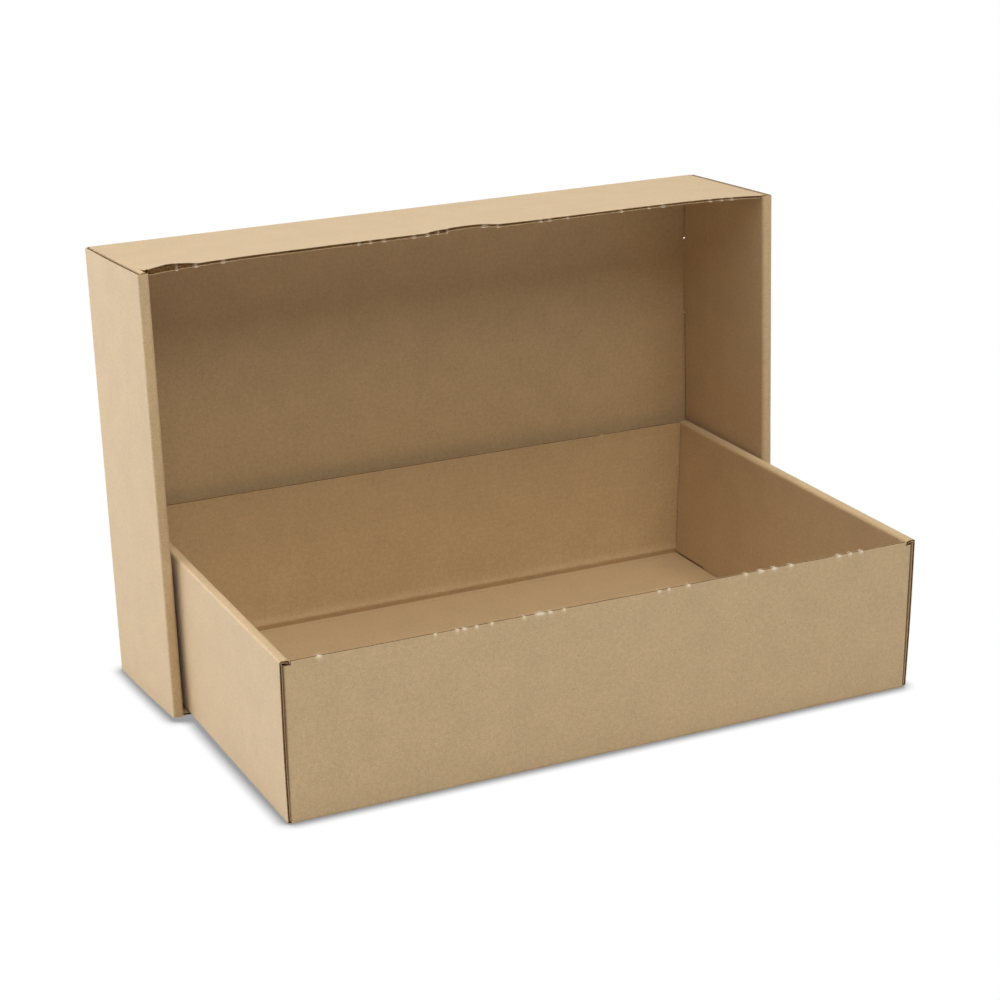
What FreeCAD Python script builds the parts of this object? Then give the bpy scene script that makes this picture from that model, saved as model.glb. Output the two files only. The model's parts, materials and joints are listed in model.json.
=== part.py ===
"""A two-piece telescoping tray box of thin fluted board, millimetres.

Each tray is one die-cut blank: a bottom, two long walls of one board, two end walls that roll
over into an inner panel, corner flaps caught inside the end walls, and tabs locked in slots.
The lid stands on a long wall, mouth forward, and the rear of the base stands in it.
"""
import FreeCAD, Part
import math
import os
from collections import namedtuple

from FreeCAD import Vector

# Board: two liners on a fluted core, which shows as a groove along cut edges
board = 1.6
liner = 0.35
groove_depth = 0.6
crease_radius = 0.4

# Base tray, outer sizes
base_length = 400.0
base_width = 259.0
base_height = 95.5
base_end_depth = 7.0
base_wall_bow = 1.0
base_foot_lean = 2.4
base_tab_inset = 38.0

# Lid tray, outer sizes
lid_length = 416.0
lid_width = 267.0
lid_height = 98.5
lid_end_depth = 6.0
lid_wall_bow = 3.0
lid_foot_lean = 1.1
lid_tab_inset = 41.5

# End walls: how far the outer panel springs out at the rim, and the clearances of the fold
end_wall_spread = 0.6
end_edge_setback = 0.2
roll_over_lip = 0.2
inner_panel_side_gap = 0.6
inner_panel_floor_gap = 1.2

# Long walls: clearance under the roll-over, and the flat beside each corner bend
rim_gap = 0.2
corner_land = 1.0

# Corner flaps of the long walls
flap_length = 96.0
flap_gap = 0.3
flap_drop = 1.0
flap_taper = 5.0
flap_floor_gap = 0.6

# Locking tabs of the inner panels and their slots in the bottom
tab_length = 51.0
tab_taper = 1.5
tab_recess = 0.2
slot_clearance = 0.3

# Thumb notches in the middle of the lid's long walls
notch_width = 32.0
notch_depth = 9.0

# The resting pair
seat_gap = 0.3
back_gap = 0.6

X_AXIS = Vector(1, 0, 0)
Y_AXIS = Vector(0, 1, 0)
Z_AXIS = Vector(0, 0, 1)
ORIGIN = Vector(0, 0, 0)

TraySize = namedtuple("TraySize", "length width height end_depth bow foot_lean tab_inset notched")
BASE = TraySize(
    base_length, base_width, base_height, base_end_depth,
    base_wall_bow, base_foot_lean, base_tab_inset, False)
LID = TraySize(
    lid_length, lid_width, lid_height, lid_end_depth,
    lid_wall_bow, lid_foot_lean, lid_tab_inset, True)

outer_radius = board + crease_radius
bend_reach = crease_radius + board / 2
core = board - 2 * liner


def unit(vector):
    """The vector at length one."""
    return vector * (1.0 / vector.Length)


def mirrored(shape, normal):
    """The shape and its mirror image in a plane through the origin."""
    return [shape, shape.mirror(ORIGIN, normal)]


def polygon_prism(points, direction):
    """A flat outline drawn along a direction."""
    return Part.Face(Part.makePolygon(points + [points[0]])).extrude(direction)


def face_line(corners, normal, offset):
    """Edges of a face of folded board, `offset` to the left of its middle line, bends as arcs."""
    edges = []
    start = corners[0] + normal.cross(unit(corners[1] - corners[0])) * offset
    for before, corner, after in zip(corners, corners[1:], corners[2:]):
        into = unit(corner - before)
        out = unit(after - corner)
        side_in = normal.cross(into)
        side_out = normal.cross(out)
        turn = math.atan2(normal.dot(into.cross(out)), into.dot(out))
        radius = bend_reach - math.copysign(offset, turn * offset)
        reach = radius * math.tan(abs(turn) / 2)
        mitre = corner + (side_in + side_out) * (offset / (1 + side_in.dot(side_out)))
        bend_start = mitre - into * reach
        bend_end = mitre + out * reach
        swing = math.copysign(radius, turn)
        centre = bend_start + side_in * swing
        bend_middle = centre - unit(side_in + side_out) * swing
        edges.append(Part.LineSegment(start, bend_start).toShape())
        edges.append(Part.Arc(bend_start, bend_middle, bend_end).toShape())
        start = bend_end
    end = corners[-1] + normal.cross(unit(corners[-1] - corners[-2])) * offset
    edges.append(Part.LineSegment(start, end).toShape())
    return edges


def board_section(corners, normal, thickness=board):
    """Face of folded board, or of its core alone, whose middle line has the given corners."""
    left = face_line(corners, normal, thickness / 2)
    right = face_line(corners, normal, -thickness / 2)
    start_cap = Part.LineSegment(left[0].firstVertex().Point, right[0].firstVertex().Point)
    end_cap = Part.LineSegment(left[-1].lastVertex().Point, right[-1].lastVertex().Point)
    caps = [start_cap.toShape(), end_cap.toShape()]
    return Part.Face(Part.Wire(Part.__sortEdges__(left + right + caps)))


def lip_height(size):
    """Height at which the roll-over's inner bend ends and the inner panel begins."""
    return size.height - outer_radius - roll_over_lip


def flap_height(size):
    """Height of a corner flap's upper edge, well below the roll-over's lip."""
    return lip_height(size) - flap_drop


def rim_height(size):
    """Height of a long wall's cut edge, level with the roll-over's underside."""
    return size.height - board - rim_gap


def wall_foot():
    """Height above the bottom at which the long walls' corner bends begin."""
    return outer_radius + flap_floor_gap


def flap_place(size):
    """Distance from the middle of the tray to the middle line of a corner flap."""
    return size.length / 2 - board - flap_gap - board / 2


def inner_panel_place(size):
    """Distance from the middle of the tray to an inner panel's middle line under the roll-over."""
    return size.length / 2 - size.end_depth + board / 2


def inner_panel_point(size, across, height):
    """A point of the right inner panel's middle line, which leans in towards its tabs."""
    top = size.height - board / 2
    lean = size.foot_lean * (top - height) / (top - tab_recess)
    return Vector(inner_panel_place(size) - lean, across, height)


def bottom_channel(size):
    """The bottom with its two long creases and the feet of the long walls."""
    reach = flap_place(size) + board / 2
    side = size.width / 2 - board / 2
    corners = [
        Vector(-reach, -side, wall_foot()),
        Vector(-reach, -side, board / 2),
        Vector(-reach, side, board / 2),
        Vector(-reach, side, wall_foot()),
    ]
    return board_section(corners, X_AXIS).extrude(X_AXIS * (2 * reach))


def panel_reach(size):
    """Half the length of a long wall's free panel, between its corner bends."""
    return flap_place(size) - bend_reach - corner_land


def rim_arc(size, y, z):
    """The bowed line of a long wall's rim, `y` at its ends."""
    reach = panel_reach(size)
    return Part.Arc(Vector(-reach, y, z), Vector(0, y - size.bow, z), Vector(reach, y, z)).toShape()


def rim_face(size, near, far, z):
    """The flat face between two bowed lines of the rim."""
    outer = rim_arc(size, near, z)
    inner = rim_arc(size, far, z)
    caps = [
        Part.LineSegment(outer.firstVertex().Point, inner.firstVertex().Point).toShape(),
        Part.LineSegment(outer.lastVertex().Point, inner.lastVertex().Point).toShape(),
    ]
    return Part.Face(Part.Wire(Part.__sortEdges__([outer, inner] + caps)))


def bowed_panel(size):
    """Front long wall between its bends: straight at the crease, bowed outwards at the rim."""
    reach = panel_reach(size)
    front = -size.width / 2
    foot = wall_foot()
    rim = rim_height(size)
    faces = [rim_face(size, front, front + board, rim)]
    foot_points = [
        Vector(-reach, front, foot),
        Vector(reach, front, foot),
        Vector(reach, front + board, foot),
        Vector(-reach, front + board, foot),
    ]
    faces.append(Part.Face(Part.makePolygon(foot_points + [foot_points[0]])))
    for y in (front, front + board):
        foot_line = Part.LineSegment(Vector(-reach, y, foot), Vector(reach, y, foot)).toShape()
        faces.append(Part.makeRuledSurface(foot_line, rim_arc(size, y, rim)))
    for x in (-reach, reach):
        corners = [
            Vector(x, front, foot), Vector(x, front + board, foot),
            Vector(x, front + board, rim), Vector(x, front, rim),
        ]
        faces.append(Part.Face(Part.makePolygon(corners + [corners[0]])))
    shell = Part.makeShell(faces)
    shell.sewShape()
    panel = Part.makeSolid(shell)
    panel.fix(0, 0, 0)
    groove = rim_face(size, front + liner, front + board - liner, rim).extrude(Z_AXIS * -groove_depth)
    return panel.cut(groove)


def flap_corners(size):
    """Middle line of the right corner flap, its bend and the land beside it."""
    side = -size.width / 2 + board / 2
    return [
        Vector(flap_place(size), side + flap_length, wall_foot()),
        Vector(flap_place(size), side, wall_foot()),
        Vector(panel_reach(size), side, wall_foot()),
    ]


def corner_flap(size):
    """The flap bent in from the front wall's right end, tapered to its tip."""
    rise = flap_height(size) - wall_foot()
    flap = board_section(flap_corners(size), Z_AXIS).extrude(Z_AXIS * rise)
    groove = board_section(flap_corners(size), Z_AXIS, core).extrude(Z_AXIS * groove_depth)
    groove.translate(Z_AXIS * (rise - groove_depth))
    root = -size.width / 2 + outer_radius
    tip = -size.width / 2 + board / 2 + flap_length
    inside = inner_panel_place(size)
    wedges = []
    for edge, taper in ((flap_height(size), -flap_taper), (wall_foot(), flap_taper)):
        outline = [Vector(inside, root, edge), Vector(inside, tip, edge), Vector(inside, tip, edge + taper)]
        wedges.append(polygon_prism(outline, X_AXIS * size.end_depth))
    return flap.cut([groove] + wedges)


def thumb_notch(size):
    """A shallow arc cut through the middle of a long wall's rim."""
    rim = rim_height(size)
    front = -size.width / 2 - size.bow
    half = notch_width / 2
    left = Vector(-half, front, rim)
    right = Vector(half, front, rim)
    bend = Part.Arc(left, Vector(0, front, rim - notch_depth), right).toShape()
    chord = Part.LineSegment(right, left).toShape()
    return Part.Face(Part.Wire([bend, chord])).extrude(Y_AXIS * (board + size.bow))


def corner_step(size):
    """The room that the rim's right end leaves for the roll-over's lip."""
    start = size.length / 2 - size.end_depth - rim_gap
    return Part.makeBox(
        size.end_depth, board, board,
        Vector(start, -size.width / 2, flap_height(size)))


def long_wall(size):
    """The front long wall with a corner flap at each end."""
    cuts = mirrored(corner_step(size), X_AXIS)
    if size.notched:
        cuts.append(thumb_notch(size))
    panel = bowed_panel(size).cut(cuts)
    return panel.fuse(mirrored(corner_flap(size), X_AXIS))


def outline_envelope(size):
    """The space inside the tray's outer faces, rounded along the two long creases."""
    reach = size.length / 2 + end_wall_spread
    block = Part.makeBox(2 * reach, size.width, 2 * size.height, Vector(-reach, -size.width / 2, 0))
    creases = [
        edge for edge in block.Edges
        if edge.CenterOfMass.z < outer_radius / 2 and abs(edge.CenterOfMass.x) < outer_radius
    ]
    return block.makeFillet(outer_radius, creases)


def rolled_panel(size):
    """Right outer panel from the bottom's crease up and over, open flutes at its cut edges."""
    half_width = size.width / 2 - end_edge_setback
    corners = [
        Vector(size.length / 2 - size.end_depth, -half_width, board / 2),
        Vector(size.length / 2 - board / 2, -half_width, board / 2),
        Vector(size.length / 2 + end_wall_spread - board / 2, -half_width, size.height - board / 2),
        inner_panel_point(size, -half_width, size.height - board / 2),
        inner_panel_point(size, -half_width, lip_height(size)),
    ]
    panel = board_section(corners, Y_AXIS).extrude(Y_AXIS * (2 * half_width))
    groove = board_section(corners, Y_AXIS, core).extrude(Y_AXIS * groove_depth)
    return panel.common(outline_envelope(size)).cut(mirrored(groove, Y_AXIS))


def inner_panel(size):
    """Right inner panel, narrower than the roll-over so that it fits between the long walls."""
    half_width = size.width / 2 - board - inner_panel_side_gap
    line = [
        inner_panel_point(size, -half_width, lip_height(size)),
        inner_panel_point(size, -half_width, board + inner_panel_floor_gap),
    ]
    panel = board_section(line, Y_AXIS).extrude(Y_AXIS * (2 * half_width))
    groove = board_section(line, Y_AXIS, core).extrude(Y_AXIS * groove_depth)
    return panel.cut(mirrored(groove, Y_AXIS))


def tab_places(size):
    """Where the two tabs of an end wall begin, measured across the tray."""
    return [-size.width / 2 + size.tab_inset, size.width / 2 - size.tab_inset - tab_length]


def locking_tab(size, start):
    """A tab at the foot of the right inner panel, tapered towards its tip."""
    root = inner_panel_point(size, start, board + inner_panel_floor_gap)
    tip = inner_panel_point(size, start, tab_recess)
    strip = board_section([root, tip], Y_AXIS).extrude(Y_AXIS * tab_length)
    left = tip.x - board
    outline = [
        Vector(left, start, root.z),
        Vector(left, start + tab_length, root.z),
        Vector(left, start + tab_length - tab_taper, tab_recess),
        Vector(left, start + tab_taper, tab_recess),
    ]
    return strip.common(polygon_prism(outline, X_AXIS * size.end_depth))


def tab_slot(size, start):
    """The slot of the bottom that takes a tab."""
    left = inner_panel_point(size, start, board / 2).x - board / 2 - slot_clearance
    return Part.makeBox(
        board + 2 * slot_clearance, tab_length + 2 * slot_clearance, board + inner_panel_floor_gap / 2,
        Vector(left, start - slot_clearance, 0))


def tray(size):
    """One folded blank, its bottom on the ground and centred on the origin."""
    pieces = mirrored(long_wall(size), Y_AXIS)
    pieces += mirrored(rolled_panel(size).fuse(inner_panel(size)), X_AXIS)
    shell = bottom_channel(size).fuse(pieces)
    slots = []
    tabs = []
    for start in tab_places(size):
        slots += mirrored(tab_slot(size, start), X_AXIS)
        tabs += mirrored(locking_tab(size, start), X_AXIS)
    return shell.cut(slots).fuse(tabs).removeSplitter().Solids[0]


def lid_lean():
    """Angle at which the lid stands on its rear crease and on the bowed rim of its lower wall."""
    along = rim_height(LID) - outer_radius
    down = LID.bow + outer_radius
    return math.atan2(down, along) - math.asin(outer_radius / math.hypot(along, down))


def lid_crease_lift():
    """How far the lean lifts the round of the lid's rear crease off the ground."""
    return outer_radius * (math.sin(lid_lean()) + math.cos(lid_lean()) - 1)


def placed_lid():
    """The lid on its lower long wall, mouth forward, leaning back."""
    lid = tray(LID)
    lid.rotate(ORIGIN, X_AXIS, 90)
    lid.translate(Z_AXIS * (LID.width / 2))
    lid.rotate(ORIGIN, X_AXIS, -math.degrees(lid_lean()))
    lid.translate(Z_AXIS * -lid_crease_lift())
    return lid


def placed_base():
    """The base with its front crease on the ground and its rear on the lid's lower wall."""
    lean = lid_lean()
    seat_y = board * math.sin(lean) - rim_height(LID) * math.cos(lean)
    seat_z = board * math.cos(lean) + rim_height(LID) * math.sin(lean) - lid_crease_lift()
    rear_y = -board / math.cos(lean) - back_gap
    crease_y = rear_y - BASE.width + outer_radius
    tilt = math.atan2(seat_z + seat_gap, seat_y - crease_y)
    base = tray(BASE)
    base.translate(Y_AXIS * (crease_y + BASE.width / 2 - outer_radius))
    base.rotate(Vector(0, crease_y, 0), X_AXIS, math.degrees(tilt))
    return base


os.makedirs("parts", exist_ok=True)
nodes = {"base_tray": placed_base(), "lid_tray": placed_lid()}
pair_box = Part.makeCompound(list(nodes.values())).optimalBoundingBox(False, False)
for name, solid in nodes.items():
    solid.translate(Vector(-pair_box.Center.x, -pair_box.Center.y, -pair_box.ZMin))
    solid.exportStep("parts/" + name + ".step")
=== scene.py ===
"""Looks of the cardboard tray box: folded fluted board, its cut edges, soft light and the camera."""
import json
import math
from collections import namedtuple

import bpy
import numpy as np
from mathutils import Matrix, Vector


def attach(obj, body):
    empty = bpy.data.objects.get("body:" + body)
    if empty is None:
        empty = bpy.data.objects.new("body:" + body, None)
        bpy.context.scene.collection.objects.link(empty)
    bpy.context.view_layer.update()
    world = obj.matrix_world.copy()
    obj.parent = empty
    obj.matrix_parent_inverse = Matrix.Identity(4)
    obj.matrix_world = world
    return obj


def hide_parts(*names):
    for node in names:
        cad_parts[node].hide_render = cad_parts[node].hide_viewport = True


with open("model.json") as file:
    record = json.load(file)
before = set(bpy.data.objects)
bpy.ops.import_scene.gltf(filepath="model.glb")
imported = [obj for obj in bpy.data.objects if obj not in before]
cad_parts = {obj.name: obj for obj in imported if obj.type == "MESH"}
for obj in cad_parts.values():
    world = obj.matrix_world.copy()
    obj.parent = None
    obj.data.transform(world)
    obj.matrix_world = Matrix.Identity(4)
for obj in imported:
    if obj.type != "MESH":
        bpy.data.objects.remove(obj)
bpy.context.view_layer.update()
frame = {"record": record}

MM = 0.001

# Sizes, in millimetres
board = 1.6
liner = 0.35
groove_depth = 0.7
crease_radius = 0.4
outer_radius = board + crease_radius
bend_radius = crease_radius + board / 2
lip = 0.2
rim_gap = 0.2
flap_gap = 0.3
flap_drop = 1.0
corner_land = 1.0
end_edge_setback = 0.2
inner_panel_side_gap = 0.6
foot_gap = 1.2
flap_length = 96.0
flap_taper = 5.0
flap_foot = outer_radius + 0.6
tab_length = 51.0
tab_taper = 1.5
tab_recess = 0.2
slot_clearance = 0.3
seat_gap = 0.3
back_gap = 0.6
flute_pitch = 3.4
hairline = 0.02

# The grid of the meshes, and creases crushed on their inner side
wall_row_step = 11.0
wall_column_step = 1.3
rim_stations = (1.5, 4.0)
bead_stations = (1.8, 2.8, 3.8, 4.8, 6.0, 8.0)
crease_stations = (0.5, 1.1, 2.0)
flap_step = 8.0
flap_rows = 9
end_wall_row_step = 6.0
end_wall_column_step = 4.0
bottom_crease_radii = (0.7, 0.7)
flap_crease_radius = 0.5
end_crease_radii = (0.7, 0.6, 1.5)
crush_allowance = 0.15
crush_width = 1.1
bead_height = 1.05
bead_end_power = 40

TraySize = namedtuple("TraySize", "length width height end_depth bow foot_lean tab_inset")
BASE = TraySize(400.0, 259.0, 95.5, 5.7, 1.0, 2.4, 38.0)
LID = TraySize(416.0, 267.0, 98.5, 6.0, 3.0, 1.1, 41.5)


def rim_height(size):
    """Height of a long wall's cut edge."""
    return size.height - board - rim_gap


def lip_height(size):
    """Height at which the roll-over ends and the inner panel begins."""
    return size.height - outer_radius - lip


def inner_panel_place(size):
    """Distance from the middle of the tray to an inner panel's middle line under the roll-over."""
    return size.length / 2 - size.end_depth + board / 2


def slot_place(size):
    """Distance from the middle of the tray to the middle of its slots."""
    top = size.height - board / 2
    lean = size.foot_lean * (top - board / 2) / (top - tab_recess)
    return inner_panel_place(size) - lean


def flap_place(size):
    """Distance of a corner flap's middle line from the middle of the tray."""
    return size.length / 2 - board - flap_gap - board / 2


# Folded sheets
def smooth_noise(at, knots, seed):
    """Values between -1 and 1: random knots over the span of `at`, joined by half cosines."""
    rng = np.random.default_rng(seed)
    heights = rng.uniform(-1, 1, knots + 1)
    place = (at - at.min()) / (np.ptp(at) + 1e-9) * (knots - 1)
    low = np.floor(place).astype(int)
    ease = 0.5 - 0.5 * np.cos(np.pi * (place - low))
    return heights[low] * (1 - ease) + heights[low + 1] * ease


def folded_line(corners, step, marks=(), radii=None, turn_steps=6):
    """Points, outward normals and lengths along a creased line.

    Each straight run is divided evenly, with extra stations at the marks (run, distance from the
    run's first corner). Each corner is an arc about the inner side, p = c - r n(a), whose heading
    a turns evenly from the one run to the next. The outward normal is the heading turned right.
    The last list says how much thinner the board is crushed on the inner side of a tight crease.
    """
    corners = np.array(corners, float)
    runs = np.diff(corners, axis=0)
    lengths = np.linalg.norm(runs, axis=1)
    ways = runs / lengths[:, None]
    headings = np.unwrap(np.arctan2(ways[:, 1], ways[:, 0]))
    turns = np.diff(headings)
    radii = np.full(len(turns), bend_radius) if radii is None else np.array(radii)
    reach = radii * np.tan(np.abs(turns) / 2)
    tightness = np.maximum(0, board / 2 - radii + crush_allowance)
    before = np.append(0, reach)
    after = np.append(reach, 0)
    points, angles, crush = [], [], []
    for run, (length, way, heading) in enumerate(zip(lengths, ways, headings)):
        first, last = before[run], length - after[run]
        count = max(2, int(math.ceil((last - first) / step)) + 1)
        stations = np.linspace(first, last, count)
        own = [at for number, at in marks if number == run and first < at < last]
        ends = [first + d for d in crease_stations] + [last - d for d in crease_stations]
        stations = np.unique(np.append(stations, own + [at for at in ends if first < at < last]))
        dents = np.zeros((2, len(stations)))
        if run < len(turns):
            dents[0] = tightness[run] * np.exp(-((last - stations) / crush_width) ** 2)
        if run > 0:
            dents[1] = tightness[run - 1] * np.exp(-((stations - first) / crush_width) ** 2)
        crush.append(dents.max(axis=0))
        points.append(corners[run] + stations[:, None] * way)
        angles.append(np.full(len(stations), heading))
        if run < len(turns):
            swing = np.linspace(0, 1, turn_steps + 1)[1:-1] * turns[run]
            side = math.copysign(radii[run], turns[run])
            centre = points[-1][-1] + side * np.array([-way[1], way[0]])
            around = heading + swing
            points.append(centre + side * np.stack([np.sin(around), -np.cos(around)], 1))
            angles.append(around)
            crush.append(np.full(len(around), tightness[run]))
    points = np.concatenate(points)
    angles = np.concatenate(angles)
    normals = np.stack([np.sin(angles), -np.cos(angles)], 1)
    travel = np.append(0, np.cumsum(np.linalg.norm(np.diff(points, axis=0), axis=1)))
    return points, normals, travel, np.concatenate(crush)


class Board:
    """Collects sheets of board as one mesh: places, quads, blank coordinates and edge marks."""

    liner_mark = 1.0
    groove_mark = 2.0
    groove_fluff = 0.4
    sharp_angle = 38

    def __init__(self):
        self.places, self.quads, self.blank, self.cut, self.torn = [], [], [], [], []
        self.count = 0

    def add(self, middle, outward, keep, blank,
            swell=(0.0, 0.0), torn=(0.0, 0.0), hollow=(1.0, 0.7), proud=0.0):
        """A sheet on a grid of its middle surface M with outward unit normals N.

        Its skins are M + N (t/2 + swell) and M - N (t/2 + swell) over the kept cells. Round every
        border runs an open edge: liner, groove let in along the sheet, liner. Swell, torn and
        hollow each have a value for the outer and one for the inner liner, whose edge stands out
        by `proud`.
        """
        rows, cols = middle.shape[:2]
        swell, torn, hollow = (
            [np.broadcast_to(side, (rows, cols)) for side in pair] for pair in (swell, torn, hollow))
        outer = middle + outward * (board / 2 + swell[0][..., None])
        inner = middle - outward * (board / 2 + swell[1][..., None])
        padded = np.pad(keep, 1)
        # borders along the first and the second parameter, +1 where the kept cell lies ahead
        along_i = padded[1:-1, 1:].astype(int) - padded[1:-1, :-1].astype(int)
        along_j = padded[1:, 1:-1].astype(int) - padded[:-1, 1:-1].astype(int)
        pull_j = np.zeros((rows, cols), int)
        pull_i = np.zeros((rows, cols), int)
        pull_j[:-1] += along_i
        pull_j[1:] += along_i
        pull_i[:, :-1] += along_j
        pull_i[:, 1:] += along_j
        pull_i, pull_j = np.sign(pull_i), np.sign(pull_j)
        i, j = np.meshgrid(np.arange(rows), np.arange(cols), indexing="ij")
        inward = np.zeros_like(middle)
        for step_i, step_j in ((pull_i, 0 * pull_j), (0 * pull_i, pull_j)):
            neighbour = middle[np.clip(i + step_i, 0, rows - 1), np.clip(j + step_j, 0, cols - 1)]
            way = neighbour - middle
            inward += way / np.maximum(np.linalg.norm(way, axis=2, keepdims=True), 1e-9)
        inner = inner - inward * np.broadcast_to(proud, (rows, cols))[..., None]
        upper = outer - outward * liner
        lower = inner + outward * liner
        depths = [inward * groove_depth * side[..., None] for side in hollow]
        layers = [outer, upper, upper + depths[0], lower + depths[1], lower, inner]
        strips = len(layers) - 1
        size = rows * cols
        number = i * cols + j
        cell = number[:-1, :-1][keep]
        loop = np.stack([cell, cell + cols, cell + cols + 1, cell + 1], 1)
        rise = np.cross(middle[1:, :-1] - middle[:-1, :-1], middle[:-1, 1:] - middle[:-1, :-1])
        flipped = (rise * outward[:-1, :-1]).sum(2)[keep].sum() < 0
        quads = [loop, loop[:, ::-1] + strips * size]
        starts, ends = [], []
        for border, grid, step in ((along_i, number[:-1], cols), (along_j, number[:, :-1], 1)):
            for sign in (1, -1):
                at = grid[border == sign]
                ahead = (sign > 0) == (step == cols)
                starts.append(at if ahead else at + step)
                ends.append(at + step if ahead else at)
        start, end = np.concatenate(starts), np.concatenate(ends)
        for layer in range(strips):
            quads.append(np.stack([end, start, start + size, end + size], 1) + layer * size)
        quads = np.concatenate(quads)
        if flipped:
            quads = quads[:, ::-1]
        faces = len(cell) * 2
        cut = np.zeros(len(quads))
        marks = [self.liner_mark] + [self.groove_mark] * (strips - 2) + [self.liner_mark]
        cut[faces:] = np.repeat(marks, len(start))
        points = np.concatenate([layer.reshape(-1, 3) for layer in layers])
        used, quads = np.unique(quads, return_inverse=True)
        self.places.append(points[used])
        self.quads.append(quads.reshape(-1, 4) + self.count)
        self.blank.append(np.tile(blank.reshape(-1, 2), (len(layers), 1))[used])
        inside = [self.groove_fluff * side for side in torn]
        shares = [torn[0], torn[0], *inside, torn[1], torn[1]]
        self.torn.append(np.concatenate([share.ravel() for share in shares])[used])
        self.cut.append(cut)
        self.count += len(used)

    def make(self, name, place, face_finish, edge_finish):
        """The mesh object, its points carried by `place`, with its UV map, marks and two finishes."""
        points = place(np.concatenate(self.places)) * MM
        quads = np.concatenate(self.quads)
        marks = np.concatenate(self.cut)
        mesh = bpy.data.meshes.new(name)
        mesh.materials.append(face_finish)
        mesh.materials.append(edge_finish)
        mesh.vertices.add(len(points))
        mesh.vertices.foreach_set("co", points.ravel())
        mesh.loops.add(quads.size)
        mesh.loops.foreach_set("vertex_index", quads.ravel())
        mesh.polygons.add(len(quads))
        mesh.polygons.foreach_set("loop_start", np.arange(0, quads.size, 4))
        mesh.polygons.foreach_set("material_index", (marks > 0).astype(np.int32))
        mesh.update(calc_edges=True)
        blank = np.concatenate(self.blank)[quads.ravel()] * MM
        mesh.uv_layers.new(name="blank").data.foreach_set("uv", blank.ravel())
        cut = mesh.attributes.new("cut", "FLOAT", "CORNER")
        cut.data.foreach_set("value", np.repeat(marks, 4))
        torn = mesh.attributes.new("torn", "FLOAT", "CORNER")
        torn.data.foreach_set("value", np.concatenate(self.torn)[quads.ravel()])
        mesh.shade_smooth()
        mesh.set_sharp_from_angle(angle=math.radians(self.sharp_angle))
        mesh.validate()
        thing = bpy.data.objects.new(name, mesh)
        bpy.context.collection.objects.link(thing)
        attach(thing, "root")
        return thing


# Rims of the long walls. Nicks are (place, width) and a notch is (place, depth) along the wall.
# A rim stands `rise` above the solid's and bows out by `bow`, whose power along the wall is
# `flatness`. `lift` gives how far its outer liner has come away, as places and heights. The inner
# liner's cut edge stands out by `proud`, and `tuft` says how much fluff the nicks carry on the
# outer and on the inner liner.
Rim = namedtuple("Rim", "nicks notch rise bow flatness lift proud tuft seed")
nick_rise = 0.6
nick_swell = 0.45
nick_spread = 0.6
wall_waviness = 0.25
lift_start = 0.84
brink_start = 0.975
brink_height = 0.015
proud_end = 0.985
rim_hollow = (1.0, 0.6)
hollow_filled_by_nick = 0.9
hollow_raggedness = 0.4


def raggedness(x, seed):
    """How far a cut line strays: two waves of smooth noise, a long one and a short one."""
    long_stray, long_knots = 0.10, 26
    short_stray, short_knots = 0.07, 150
    long_wave = long_stray * smooth_noise(x, long_knots, seed)
    return long_wave + short_stray * smooth_noise(x, short_knots, seed + 1)


def nick_marks(x, nicks):
    """Mask of the torn nicks along a rim: a narrow bell about each place."""
    marks = np.zeros_like(x)
    for place, width in nicks:
        marks = np.maximum(marks, np.exp(-((x - place) / (nick_spread * width)) ** 4))
    return marks


def rim_notch(x, notch):
    """Depth of the thumb notch: straight lines between its points, zero beyond them."""
    if notch is None:
        return np.zeros_like(x)
    points, depths = zip(*notch)
    return np.interp(x, points, depths)


def crease_bead(travel, normal):
    """Swelling of the inner liner beside each crease: a high bell up the wall, a low one along the bottom.

    A bell is h exp(-((d - a) / w)^2), with d the way from the crease, counted up the wall.
    """
    bells = ((bead_height, 4.2, 2.0), (0.25, -3.6, 1.6))
    bead = np.zeros_like(travel)
    half = len(travel) // 2
    for rows, up in ((slice(0, half), -1), (slice(half, None), 1)):
        slant = np.abs(np.abs(normal[rows, 0]) - np.abs(normal[rows, 1]))
        away = (travel[rows] - travel[rows][np.argmin(slant)]) * up
        bead[rows] = sum(high * np.exp(-((away - at) / wide) ** 2) for high, at, wide in bells)
    return bead


# One tray
def spread_lines(low, high, step, marks):
    """Even stations from low to high with the marks among them."""
    stations = np.linspace(low, high, int(math.ceil((high - low) / step)) + 1)
    keep = [at for at in marks if low <= at <= high]
    return np.unique(np.round(np.append(stations, keep), 5))


def tab_spans(size):
    """Start and end of the two tabs, measured across the tray."""
    first = -size.width / 2 + size.tab_inset
    second = size.width / 2 - size.tab_inset - tab_length
    return [(first, first + tab_length), (second, second + tab_length)]


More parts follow.
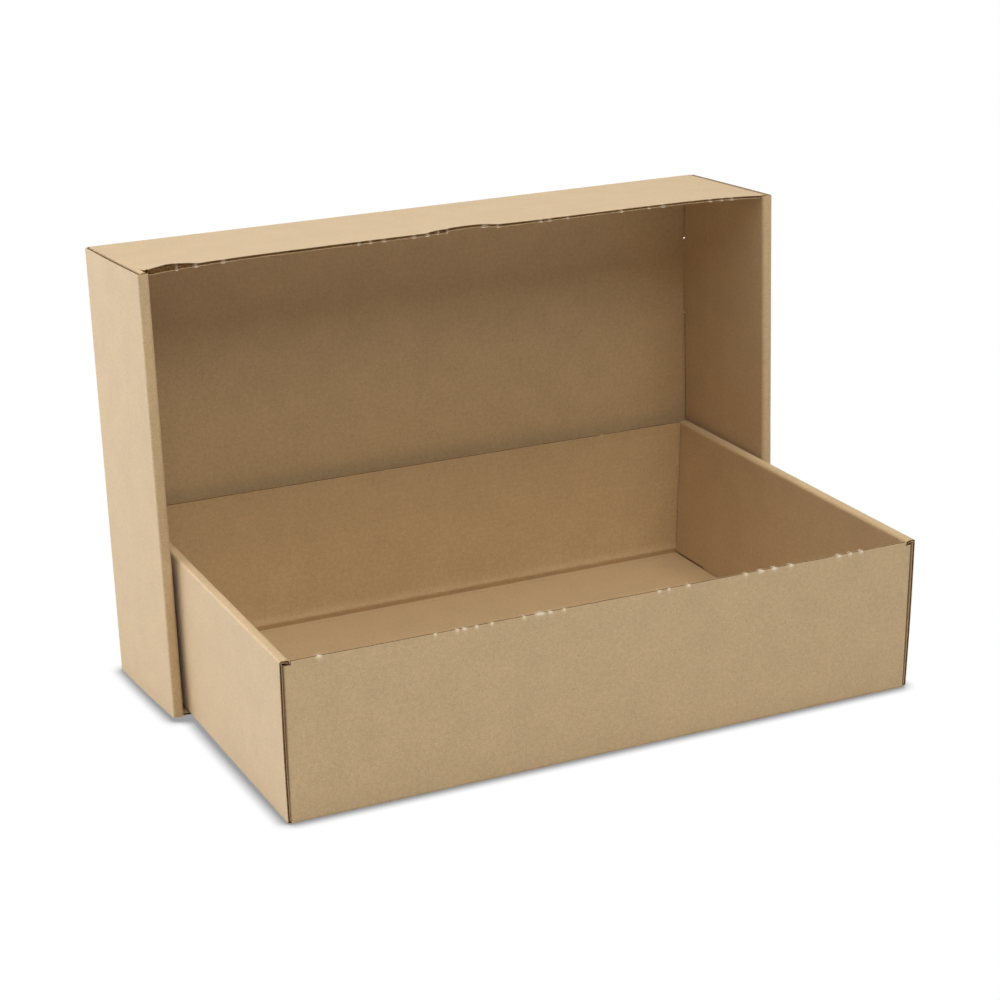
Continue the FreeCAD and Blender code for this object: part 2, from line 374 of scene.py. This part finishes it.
def add_channel(sheet, size, rims):
    """Bottom and long walls: the line rim-crease-crease-rim carried along the flutes.

    Above the creases each wall is leaned and bowed outwards by bow (z/rim) (1 - |x/R|^p), and its
    height is stretched so that its last station follows the cut line of the rim.
    """
    side = size.width / 2 - board / 2
    rim = rim_height(size)
    reach = size.length / 2 - outer_radius
    wall_end = flap_place(size) - bend_radius - corner_land
    step_start = size.length / 2 - size.end_depth - rim_gap
    slot_near = slot_place(size) - board / 2 - slot_clearance
    slot_far = slot_place(size) + board / 2 + slot_clearance
    slots = [(start - slot_clearance, end + slot_clearance) for start, end in tab_spans(size)]
    marks = [(1, end + side) for slot in slots for end in slot]
    wall = rim - board / 2
    for down in rim_stations:
        marks += [(0, down), (2, wall - down)]
    for away in bead_stations:
        marks += [(0, wall - away), (1, away), (1, 2 * side - away), (2, away)]
    corners = [(-side, rim), (-side, board / 2), (side, board / 2), (side, rim)]
    line, normal, travel, crush = folded_line(corners, wall_row_step, marks, bottom_crease_radii)
    stops = (wall_end, step_start, step_start + hairline, slot_near, slot_far)
    lines = [way * stop for way in (-1, 1) for stop in stops]
    x = spread_lines(-reach, reach, wall_column_step, lines)
    grid_x = np.broadcast_to(x, (len(line), len(x)))
    middle = np.stack([grid_x, line[:, :1] + 0 * grid_x, line[:, 1:] + 0 * grid_x], 2)
    outward = np.zeros_like(middle)
    outward[..., 1] = normal[:, 0, None]
    outward[..., 2] = normal[:, 1, None]
    torn = np.zeros((2,) + grid_x.shape)
    swell = np.zeros((2,) + grid_x.shape)
    fading = 1 - (np.abs(x) / reach) ** bead_end_power
    swell[1] = crease_bead(travel, normal)[:, None] * fading - crush[:, None]
    hollow = np.ones((2,) + grid_x.shape)
    proud = np.zeros(grid_x.shape)
    foot = board / 2 + bend_radius
    flap_top = lip_height(size) - flap_drop
    half = len(line) // 2
    for front, edge in ((True, rims[0]), (False, rims[1])):
        rows = np.zeros(len(line), bool)
        rows[:half if front else len(line)] = True
        rows[:0 if front else half] = False
        rows &= line[:, 1] > foot
        up = ((line[rows, 1] - foot) / (rim - foot))[:, None]
        nicks = nick_marks(x, edge.nicks)
        top = rim + edge.rise + raggedness(x, edge.seed) - rim_notch(x, edge.notch) + nick_rise * nicks
        top = np.where(np.abs(x) > step_start, flap_top, top)
        across = np.clip(np.abs(x) / wall_end, 0, 1)
        bow = edge.bow * (1 - across ** edge.flatness) * up
        waves = smooth_noise(x, 9, edge.seed + 5) * np.sin(np.pi * up)
        bow += wall_waviness * waves * (1 - across ** 4)
        middle[rows, :, 1] += np.where(front, -1, 1) * bow
        middle[rows, :, 2] = foot + (top - foot) * up
        loose = np.clip((up - lift_start) / (1 - lift_start), 0, 1) ** 2
        swell[0][rows] = np.interp(x, *edge.lift) * loose
        brink = np.clip((up - brink_start) / brink_height, 0, 1)
        uneven = 0.8 + 0.4 * smooth_noise(x, 60, edge.seed + 21)
        proud[rows] = edge.proud * uneven * (across < proud_end)
        for liner_side in (0, 1):
            tuft = edge.tuft[liner_side] * nicks * brink
            torn[liner_side][rows] = tuft
            swell[liner_side][rows] += nick_swell * tuft
            hollow_depth = rim_hollow[liner_side] * (1 - hollow_filled_by_nick * nicks)
            ragged = smooth_noise(x, 110, edge.seed + 9 + liner_side)
            hollow[liner_side][rows] = hollow_depth + hollow_raggedness * ragged
    keep = np.ones((len(line) - 1, len(x) - 1), bool)
    mid_x = (x[1:] + x[:-1]) / 2
    mid_z = (line[1:, 1] + line[:-1, 1]) / 2
    mid_y = (line[1:, 0] + line[:-1, 0]) / 2
    keep[np.ix_(mid_z > foot, np.abs(mid_x) > wall_end)] = False
    by_slot = (np.abs(mid_x) > slot_near) & (np.abs(mid_x) < slot_far)
    for start, end in slots:
        in_slot = (mid_y > start) & (mid_y < end) & (mid_z < board)
        keep[np.ix_(in_slot, by_slot)] = False
    blank = np.stack([grid_x, np.broadcast_to((travel - travel[-1] / 2)[:, None], grid_x.shape)], 2)
    sheet.add(middle, outward, keep, blank, swell, torn, hollow, proud)


def add_flap(sheet, size, right, front):
    """Corner flap: the wall's line bent round the corner, its height tapered along the flap."""
    start = flap_place(size) - bend_radius - corner_land
    side = -size.width / 2 + board / 2
    corners = [(start, side), (flap_place(size), side), (flap_place(size), side + flap_length)]
    line, normal, travel, crush = folded_line(corners, flap_step, radii=(flap_crease_radius,))
    top = lip_height(size) - flap_drop
    low = board / 2 + bend_radius
    up = np.linspace(0, 1, flap_rows)
    taper = flap_taper * np.clip((line[:, 1] - side) / flap_length, 0, 1)
    foot = np.where(line[:, 1] > side + outer_radius, flap_foot, low) + taper
    z = foot[:, None] + (top - taper - foot)[:, None] * up
    flip = np.array([1 if right else -1, 1 if front else -1, 1])
    middle = np.stack([line[:, :1] + 0 * z, line[:, 1:] + 0 * z, z], 2)
    outward = np.zeros_like(middle)
    outward[..., 0] = normal[:, 0, None]
    outward[..., 1] = normal[:, 1, None]
    keep = np.ones((len(line) - 1, len(up) - 1), bool)
    along = (start + travel)[:, None] + 0 * z
    blank = np.stack([along * flip[0], -(size.width / 2 + z) * flip[1]], 2)
    thin = -crush[:, None] + 0 * z
    sheet.add(middle * flip, outward * flip, keep, blank, (0.0, thin))


# An end wall leans out by `spread` and bulges by `bulge`, and its inner panel gives way towards the
# outer one by up to `slack`.
EndWall = namedtuple("EndWall", "spread bulge slack seed")
end_wall_overlap = 0.05
outer_waviness = 0.2
roll_height = 12.0
roll_dip = 0.18


def add_end_wall(sheet, size, right, shape):
    """End wall: up from the bottom's crease, over in two creases, down to the tabs.

    The outer panel leans out by `spread` at the rim and bulges by bulge sin(pi z/H). Its cut edges
    draw in round the bottom crease, and the inner panel is narrower than the roll-over.
    """
    half = size.width / 2 - end_edge_setback
    narrow = size.width / 2 - board - inner_panel_side_gap
    place = inner_panel_place(size)
    foot = board + foot_gap
    top = size.height - board / 2
    corners = [
        (size.length / 2 - outer_radius - end_wall_overlap, board / 2),
        (size.length / 2 - board / 2, board / 2),
        (size.length / 2 + shape.spread - board / 2, top),
        (place, top),
        (place - size.foot_lean, tab_recess),
    ]
    lip_mark = top - lip_height(size)
    marks = [(3, stop + extra) for stop in (lip_mark, top - foot) for extra in (0, hairline)]
    line, normal, travel, crush = folded_line(corners, end_wall_row_step, marks, end_crease_radii)
    over = np.arange(len(line)) > np.argmax(line[:, 1])
    lines = [s * narrow for s in (-1, 1)] + [end for span in tab_spans(size) for end in span]
    y = spread_lines(-half, half, end_wall_column_step, lines)
    low = np.clip((line[:, 1] - board / 2) / (outer_radius - board / 2), 0, 1)
    width = np.where(over, 1.0, 1 - (outer_radius - end_edge_setback) / half * (1 - low) ** 2)
    grid_y = y * width[:, None]
    in_tab = over & (line[:, 1] < foot)
    draw = np.where(in_tab, (foot - line[:, 1]) / (foot - tab_recess), 0)[:, None]
    for start, end in tab_spans(size):
        centre = (start + end) / 2
        inside = (y >= start - hairline / 2) & (y <= end + hairline / 2)
        tapered = centre + (grid_y - centre) * (1 - 2 * tab_taper / tab_length * draw)
        grid_y = np.where(inside, tapered, grid_y)
    grid_x = np.broadcast_to(line[:, 0, None], grid_y.shape).copy()
    grid_z = np.broadcast_to(line[:, 1, None], grid_y.shape).copy()
    rise = np.clip(line[:, 1] / size.height, 0, 1)[:, None]
    along = y / half
    outer_panel = ~over[:, None] * np.sin(np.pi * rise)
    waves = outer_waviness * smooth_noise(y, 6, shape.seed)
    grid_x += outer_panel * (shape.bulge * (0.75 + 0.25 * along ** 2) + waves)
    roll = np.clip((line[:, 1] - size.height + roll_height) / roll_height, 0, 1)[:, None]
    dips = 0.5 + 0.5 * smooth_noise(y, 14, shape.seed + 2)
    grid_z -= roll_dip * roll * dips * (1 - along ** 8)
    inner_side = over[:, None] * np.sin(np.pi * rise)
    waves = smooth_noise(y, 5, shape.seed + 4)
    grid_x += inner_side * shape.slack * (0.6 * (1 - along ** 2) + 0.4 * waves)
    middle = np.stack([grid_x, grid_y, grid_z], 2)
    outward = np.zeros_like(middle)
    outward[..., 0] = normal[:, 0, None]
    outward[..., 2] = normal[:, 1, None]
    keep = np.ones((len(line) - 1, len(y) - 1), bool)
    mid_y = (y[1:] + y[:-1]) / 2
    mid_z = (line[1:, 1] + line[:-1, 1]) / 2
    down = over[1:] & over[:-1]
    keep[np.ix_(down & (mid_z < lip_height(size)), np.abs(mid_y) > narrow)] = False
    off_tab = np.ones(len(mid_y), bool)
    for start, end in tab_spans(size):
        off_tab &= (mid_y < start) | (mid_y > end)
    keep[np.ix_(down & (mid_z < foot), off_tab)] = False
    flip = np.array([1 if right else -1, 1, 1])
    u = (size.length / 2 - outer_radius + travel)[:, None] + 0 * grid_y
    blank = np.stack([u * flip[0], grid_y], 2)
    sheet.add(middle * flip, outward * flip, keep, blank, (0.0, -crush[:, None] + 0 * grid_y))


def tray(size, rims, left, right):
    """All sheets of one folded blank, in the tray's own frame: bottom on the ground, mouth up."""
    sheet = Board()
    add_channel(sheet, size, rims)
    for is_right in (False, True):
        for is_front in (False, True):
            add_flap(sheet, size, is_right, is_front)
    add_end_wall(sheet, size, False, left)
    add_end_wall(sheet, size, True, right)
    return sheet


# Where the trays stand
def turned(points, angle):
    """Points turned about the X axis."""
    c, s = math.cos(angle), math.sin(angle)
    return points @ np.array([[1, 0, 0], [0, c, s], [0, -s, c]])


lean = math.atan2(LID.bow + outer_radius, rim_height(LID) - outer_radius)
lean -= math.asin(outer_radius / math.hypot(rim_height(LID) - outer_radius, LID.bow + outer_radius))
crease_lift = outer_radius * (math.sin(lean) + math.cos(lean) - 1)
lid_origin = np.array(frame["record"]["mounts"][0]["pos_m"]) / MM
seat_y = board * math.sin(lean) - rim_height(LID) * math.cos(lean)
seat_z = board * math.cos(lean) + rim_height(LID) * math.sin(lean) - crease_lift
crease_y = -board / math.cos(lean) - back_gap - BASE.width + outer_radius
tilt = math.atan2(seat_z + seat_gap, seat_y - crease_y)
pair_y = lid_origin[1] - LID.width / 2 * math.sin(lean)
base_crease = np.array([0, crease_y + pair_y, 0])

# The numbers a, b and c of place_lid and place_base, first for the left end, then for the right
lid_ends = ((0.45, 1.15), (0.4, 1.1))
base_ends = ((-1.1, 5.6, 1.3), (0.0, 2.3, 1.0))
base_slant = 0.006


def drawn_in(points, size, left, right):
    """The points with x scaled by 1 - s/R, where s says how far each end wall stands inwards."""
    points = points.copy()
    shift = np.where(points[:, 0] < 0, left, right)
    points[:, 0] *= 1 - shift / (size.length / 2)
    return points


def place_lid(points):
    """The lid on its long wall: turned a quarter, leant back, its bottom's middle at the mount.

    Its ends stand out by a millimetre at the upper wall and in by as much at the lower one:
    s = a - b v, with v from -1 at the lower wall to 1 at the upper wall.
    """
    v = 2 * points[:, 1] / LID.width
    points = drawn_in(points, LID, *(a - b * v for a, b in lid_ends))
    return turned(points, math.pi / 2 - lean) + lid_origin


def place_base(points):
    """The base turned about its front crease, which lies on the ground.

    The lid draws its ends in at the rear and they flare at the front rim, with t running from
    front to rear: s = a + b t - c (1 - t) z/H. Its left end is a little taller than its right.
    """
    t = points[:, 1] / BASE.width + 0.5
    up = points[:, 2] / BASE.height
    stand = drawn_in(points, BASE, *(a + b * t - c * (1 - t) * up for a, b, c in base_ends))
    stand[:, 2] *= 1 - base_slant * points[:, 0] / (BASE.length / 2)
    shift = np.array([0, BASE.width / 2 - outer_radius, 0])
    return turned(stand + shift, tilt) + base_crease


# Materials
kraft = (0.54, 0.374, 0.190, 1)
dark_fibre = (0.20, 0.12, 0.06, 1)
pale_fibre = (0.72, 0.62, 0.47, 1)
liner_edge = ((0.40, 0.26, 0.13, 1), (0.62, 0.45, 0.26, 1))
# The flutes between the liners: their own brown, darkened almost to black as painted shade of their open
# hollow
flute_brown_and_painted_shade = ((0.075, 0.034, 0.010, 1), (0.20, 0.105, 0.04, 1))
fluff = (0.95, 0.83, 0.62, 1)


def socket(tree, kind, name, way, value=None):
    """A named socket of a node group."""
    made = tree.interface.new_socket(name=name, in_out=way, socket_type=kind)
    if value is not None:
        made.default_value = value
    return made


def add_node(tree, kind, inputs=None, **settings):
    """A node with its settings and its inputs given as values or as links."""
    node = tree.nodes.new(kind)
    for name, value in settings.items():
        setattr(node, name, value)
    for name, value in (inputs or {}).items():
        if isinstance(value, bpy.types.NodeSocket):
            tree.links.new(value, node.inputs[name])
        else:
            node.inputs[name].default_value = value
    return node


def maths(tree, operation, *values):
    """Result of a Math node."""
    return add_node(tree, "ShaderNodeMath", dict(enumerate(values)), operation=operation).outputs[0]


def mixed(tree, factor, one, two):
    """Colour of a Mix node."""
    node = add_node(tree, "ShaderNodeMix", data_type="RGBA")
    for number, value in ((0, factor), (6, one), (7, two)):
        if isinstance(value, bpy.types.NodeSocket):
            tree.links.new(value, node.inputs[number])
        else:
            node.inputs[number].default_value = value
    return node.outputs[2]


def ramp(tree, value, low, high, start=0.0, end=1.0):
    """A value carried from one range to another and held at its ends."""
    node = add_node(tree, "ShaderNodeMapRange", {0: value, 1: low, 2: high, 3: start, 4: end})
    return node.outputs[0]


def liner_group():
    """Kraft liner: cloudy formation, fibres, flecks and the flutes telegraphing through it."""
    tree = bpy.data.node_groups.new("kraft_liner", "ShaderNodeTree")
    socket(tree, "NodeSocketColor", "Paper", "INPUT", (0.5, 0.36, 0.22, 1))
    socket(tree, "NodeSocketFloat", "Flutes", "INPUT", 1.0)
    socket(tree, "NodeSocketColor", "Color", "OUTPUT")
    socket(tree, "NodeSocketFloat", "Height", "OUTPUT")
    socket(tree, "NodeSocketFloat", "Roughness", "OUTPUT")
    entry = add_node(tree, "NodeGroupInput").outputs
    blank = add_node(tree, "ShaderNodeUVMap", uv_map="blank").outputs[0]

    def noise(scale, detail, roughness=0.5, stretch=(1, 1, 1)):
        where = add_node(tree, "ShaderNodeMapping", {"Vector": blank, "Scale": stretch}).outputs[0]
        return add_node(
            tree, "ShaderNodeTexNoise",
            {"Vector": where, "Scale": scale, "Detail": detail, "Roughness": roughness},
            noise_dimensions="2D").outputs[0]

    cloud = noise(45, 3, 0.6)
    formation = noise(330, 3, 0.65)
    fibre = noise(950, 2, 0.7, (0.75, 1, 1))
    grain = noise(2300, 1)
    fleck = noise(1050, 0)
    across = add_node(tree, "ShaderNodeSeparateXYZ", {0: blank}).outputs[1]
    wander = maths(tree, "MULTIPLY", noise(30, 1), 0.35)
    phase = maths(tree, "ADD", maths(tree, "MULTIPLY", across, 1000 / flute_pitch), wander)
    wave = maths(tree, "SINE", maths(tree, "MULTIPLY", phase, 2 * math.pi))
    flutes = maths(tree, "MULTIPLY", wave, entry["Flutes"])
    tone = maths(tree, "MULTIPLY", flutes, 0.004)
    for pattern, strength in ((cloud, 0.035), (formation, 0.06), (fibre, 0.05), (grain, 0.03)):
        tone = maths(tree, "ADD", tone, ramp(tree, pattern, 0.3, 0.7, -strength, strength))
    bright = maths(tree, "ADD", tone, 1.0)
    paper = add_node(tree, "ShaderNodeVectorMath", {0: entry["Paper"]}, operation="SCALE")
    tree.links.new(bright, paper.inputs["Scale"])
    dark_fleck = ramp(tree, fleck, 0.24, 0.17, 0.0, 0.28)
    pale_fleck = ramp(tree, fleck, 0.76, 0.84, 0.0, 0.30)
    color = mixed(tree, dark_fleck, paper.outputs[0], dark_fibre)
    color = mixed(tree, pale_fleck, color, pale_fibre)
    height = maths(tree, "MULTIPLY", flutes, 0.12)
    for pattern, strength in ((fibre, 0.22), (formation, 0.5), (grain, 0.08)):
        height = maths(tree, "ADD", height, maths(tree, "MULTIPLY", pattern, strength))
    rough = ramp(tree, formation, 0.3, 0.7, 0.52, 0.66)
    add_node(tree, "NodeGroupOutput", {"Color": color, "Height": height, "Roughness": rough})
    return tree


def new_material(name):
    """A material and its node tree, empty."""
    material = bpy.data.materials.new(name)
    material.use_nodes = True
    material.node_tree.nodes.clear()
    return material, material.node_tree


def fibre_fuzz(tree):
    """Fine blotches, under a millimetre wide, that break up cut edges and fluff."""
    spot = add_node(tree, "ShaderNodeTexCoord").outputs["Object"]
    return add_node(tree, "ShaderNodeTexNoise", {"Vector": spot, "Scale": 1400.0, "Detail": 2.0}).outputs[0]


def with_fluff(tree, color, fuzz):
    """The colour, covered with pale fluff where the board is torn."""
    torn = add_node(tree, "ShaderNodeAttribute", attribute_name="torn").outputs["Fac"]
    cover = maths(tree, "MULTIPLY", torn, ramp(tree, fuzz, 0.3, 0.5, 0.6, 1.0))
    return mixed(tree, cover, color, fluff)


def dull_paper(tree, color, rough, height, specular, sheen):
    """Principled shader of unglazed paper with a fine relief, joined to the tree's output."""
    relief = {"Strength": 0.55, "Distance": 0.00012, "Height": height}
    bump = add_node(tree, "ShaderNodeBump", relief).outputs[0]
    shader = add_node(
        tree, "ShaderNodeBsdfPrincipled", {"Base Color": color, "Roughness": rough, "Normal": bump})
    shader.inputs["Specular IOR Level"].default_value = specular
    shader.inputs["Sheen Weight"].default_value = sheen
    shader.inputs["Sheen Roughness"].default_value = 0.5
    add_node(tree, "ShaderNodeOutputMaterial", {"Surface": shader.outputs[0]})


def liner_material(name, liner_tree):
    """Faces of the board: kraft liner, with fluff where a nick is torn."""
    material, tree = new_material(name)
    face = add_node(tree, "ShaderNodeGroup", node_tree=liner_tree)
    face.inputs["Paper"].default_value = kraft
    face.inputs["Flutes"].default_value = 1.0
    color = with_fluff(tree, face.outputs["Color"], fibre_fuzz(tree))
    dull_paper(tree, color, face.outputs["Roughness"], face.outputs["Height"], 0.65, 0.2)
    return material


def cut_edge_material(name):
    """Cut edges of the board: tan liners with the flutes between them, their brown darkened with painted
    shade of the hollow.
    """
    material, tree = new_material(name)
    cut = add_node(tree, "ShaderNodeAttribute", attribute_name="cut").outputs["Fac"]
    fuzz = fibre_fuzz(tree)
    patchy = ramp(tree, fuzz, 0.35, 0.65)
    in_groove = ramp(tree, cut, Board.liner_mark, Board.groove_mark)
    # The groove strips take the flutes' colours, their brown darkened with painted shade
    color = mixed(tree, in_groove, mixed(tree, patchy, *liner_edge), mixed(tree, patchy, *flute_brown_and_painted_shade))
    dull_paper(tree, with_fluff(tree, color, fuzz), ramp(tree, fuzz, 0.3, 0.7, 0.92, 1.0), fuzz, 0.05, 0.0)
    return material


# The two trays
no_lift = ([-1.0, 1.0], [0.0, 0.0])
base_front = Rim(
    nicks=[(-178.3, 2.4), (-111.3, 1.2), (-98.1, 1.6), (-93.8, 1.8), (-86.6, 1.3), (-77.4, 1.4),
           (-57.8, 1.8), (-47.9, 4.5), (-41.7, 2.0), (-33.2, 1.8), (27.0, 1.4), (33.5, 1.2),
           (45.9, 2.0), (83.7, 2.0), (93.8, 3.0), (102.9, 2.6), (113.8, 2.2), (147.1, 2.4),
           (154.7, 1.5), (162.4, 1.6)],
    notch=None, rise=0.8, bow=0.8, flatness=2, lift=no_lift, proud=0.0, tuft=(0.9, 1.0), seed=11)
base_rear = Rim(
    nicks=[(133, 1.2)],
    notch=None, rise=1.4, bow=0.6, flatness=2, lift=no_lift, proud=0.0, tuft=(0.5, 0.3), seed=23)
thumb_notch = [
    (-31, 0), (-25, 1.6), (-15, 2.2), (-14.2, 5.6), (-8, 6.9), (0, 7.6), (6, 7.2), (11, 5.6),
    (15, 2.4), (18.5, 0)]
plain_notch = [(-16, 0), (-14, 3.2), (-9, 6.9), (0, 8.6), (9, 6.9), (14, 3.2), (16, 0)]
lid_upper = Rim(
    nicks=[(-185.2, 1.4), (-173.6, 2.0), (-157.2, 2.6), (-73.0, 1.6), (-66.0, 1.4), (-57.1, 1.6),
           (-38.0, 2.4), (-29.0, 2.2), (-21.4, 1.6), (-14.0, 2.4), (10.9, 2.6), (17.6, 1.8),
           (45.9, 1.8), (52.0, 1.6), (64.3, 1.8), (101.3, 1.6), (120.6, 1.4), (130.5, 2.4),
           (164.2, 2.0), (172.1, 1.8), (179.4, 1.6)],
    notch=thumb_notch, rise=0.2, bow=2.6, flatness=7,
    lift=([-206, -199, -190, -180, -172, -30, -20, -14, -13.9, 18, 40],
          [1.2, 2.2, 2.8, 1.6, 0.25, 0.2, 0.9, 0.9, 0.3, 0.3, 0.0]),
    proud=0.6, tuft=(0.35, 1.0), seed=37)
lid_lower = Rim(
    nicks=[(-140, 1.8), (-55, 1.6), (36, 2.2), (118, 1.6)],
    notch=plain_notch, rise=0.0, bow=2.65, flatness=2, lift=no_lift, proud=0.0, tuft=(0.9, 0.9), seed=53)

liner_tree = liner_group()
kraft_faces = {part: liner_material(part + "_kraft", liner_tree) for part in ("base", "lid")}
cut_edges = cut_edge_material("cut_edge")
base_board = tray(BASE, (base_front, base_rear), EndWall(0.6, 0.5, 0.5, 71), EndWall(0.6, 0.5, 0.4, 83))
base = base_board.make("base_board", place_base, kraft_faces["base"], cut_edges)
lid_board = tray(LID, (lid_lower, lid_upper), EndWall(0.6, 0.5, 0.4, 97), EndWall(0.6, 0.4, 0.3, 103))
lid = lid_board.make("lid_board", place_lid, kraft_faces["lid"], cut_edges)
for piece, node in ((base, "base_tray"), (lid, "lid_tray")):
    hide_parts(node)
    bpy.data.objects[node].data.materials.clear()
    bpy.data.objects[node].data.materials.append(piece.data.materials[0])


# Floor, light and camera
floor_shade = 0.82
floor_half_width = 12.0
mirrored_level = 0.6
# Reach and darkest glow of the floor's painted contact shadow
shadow_reach = 0.009
contact_grey = 0.33
# Shares of open sky at which the floor is at its darkest and at which it is white again
darkest_open, white_open = 0.5, 0.97
camera_place = (-0.6641, -1.33634, 0.60454)
camera_turns = (26.269, 18.213, -1.130)
focal_pixels = 2615.7
frame_pixels = 1000
sensor_width = 36
# A soft light's name, place, aim, width, height and power
soft_lights = (
    ("top_light", (0.0, 0.0, 2.4), (0, 0, 0), 2.0, 2.0, 43),
    ("front_light", (0.0, -1.6, 2.2), (0, 0, 0.1), 2.2, 1.6, 40),
    ("left_light", (-2.2, 0.7, 0.5), (0, 0, 0.1), 1.6, 0.8, 12),
    ("left_back_light", (-1.8, 1.6, 0.6), (0, 0, 0.1), 1.6, 0.8, 27),
)


def white_ground(name, shade):
    """Matt pale surface, seen as a plain white glow that carries a painted shadow, grey only where the
    trays shade it closely.
    """
    material, tree = new_material(name)
    matt = add_node(tree, "ShaderNodeBsdfDiffuse", {"Color": (shade, shade, shade, 1)}).outputs[0]
    # Ambient occlusion turns the white glow grey near the trays: a painted contact shadow
    open_sky = add_node(tree, "ShaderNodeAmbientOcclusion", {"Distance": shadow_reach}).outputs["AO"]
    glow = ramp(tree, open_sky, darkest_open, white_open, contact_grey, 1.0)
    light = add_node(tree, "ShaderNodeEmission", {"Color": (1, 1, 1, 1), "Strength": glow}).outputs[0]
    path = add_node(tree, "ShaderNodeLightPath").outputs
    seen = maths(tree, "MAXIMUM", path["Is Camera Ray"], path["Is Glossy Ray"])
    pick = add_node(tree, "ShaderNodeMixShader", {0: seen, 1: matt, 2: light}).outputs[0]
    add_node(tree, "ShaderNodeOutputMaterial", {"Surface": pick})
    return material


def add_floor():
    """A level square under the trays."""
    mesh = bpy.data.meshes.new("floor")
    signs = ((-1, -1), (1, -1), (1, 1), (-1, 1))
    corners = [(x * floor_half_width, y * floor_half_width, 0) for x, y in signs]
    mesh.from_pydata(corners, [], [(0, 1, 2, 3)])
    floor = bpy.data.objects.new("floor", mesh)
    mesh.materials.append(white_ground("pale_floor", floor_shade))
    bpy.context.collection.objects.link(floor)


def add_softbox(name, place, aim, width, height, power):
    """A rectangular soft light at a place, turned to a point."""
    lamp = bpy.data.lights.new(name, "AREA")
    lamp.shape = "RECTANGLE"
    lamp.size, lamp.size_y, lamp.energy = width, height, power
    thing = bpy.data.objects.new(name, lamp)
    thing.location = place
    thing.rotation_euler = (Vector(aim) - Vector(place)).to_track_quat("-Z", "Y").to_euler()
    bpy.context.collection.objects.link(thing)


def set_world(level):
    """A white surrounding for the camera, mirrored more faintly; the lamps alone light the trays."""
    world = bpy.data.worlds.new("studio")
    bpy.context.scene.world = world
    world.use_nodes = True
    tree = world.node_tree
    tree.nodes.clear()
    path = add_node(tree, "ShaderNodeLightPath").outputs
    mirrored = maths(tree, "MULTIPLY", path["Is Glossy Ray"], level)
    strength = maths(tree, "MAXIMUM", path["Is Camera Ray"], mirrored)
    back = add_node(tree, "ShaderNodeBackground", {"Color": (1, 1, 1, 1), "Strength": strength}).outputs[0]
    add_node(tree, "ShaderNodeOutputWorld", {"Surface": back})


def add_camera():
    """The viewpoint, from its place and its yaw, pitch and roll."""
    yaw, pitch, roll = (math.radians(turn) for turn in camera_turns)
    ahead = Vector((math.sin(yaw) * math.cos(pitch), math.cos(yaw) * math.cos(pitch), -math.sin(pitch)))
    level = Vector((math.cos(yaw), -math.sin(yaw), 0))
    upright = level.cross(ahead)
    right = level * math.cos(roll) + upright * math.sin(roll)
    up = upright * math.cos(roll) - level * math.sin(roll)
    camera = bpy.data.cameras.new("camera")
    camera.sensor_width = sensor_width
    camera.lens = focal_pixels / frame_pixels * sensor_width
    camera.clip_end = 50
    thing = bpy.data.objects.new("camera", camera)
    turn = Matrix((right, up, -ahead)).transposed().to_4x4()
    thing.matrix_world = Matrix.Translation(Vector(camera_place)) @ turn
    bpy.context.collection.objects.link(thing)
    bpy.context.scene.camera = thing


add_floor()
set_world(mirrored_level)
for soft_light in soft_lights:
    add_softbox(*soft_light)
add_camera()
bpy.context.scene.view_settings.view_transform = "Standard"
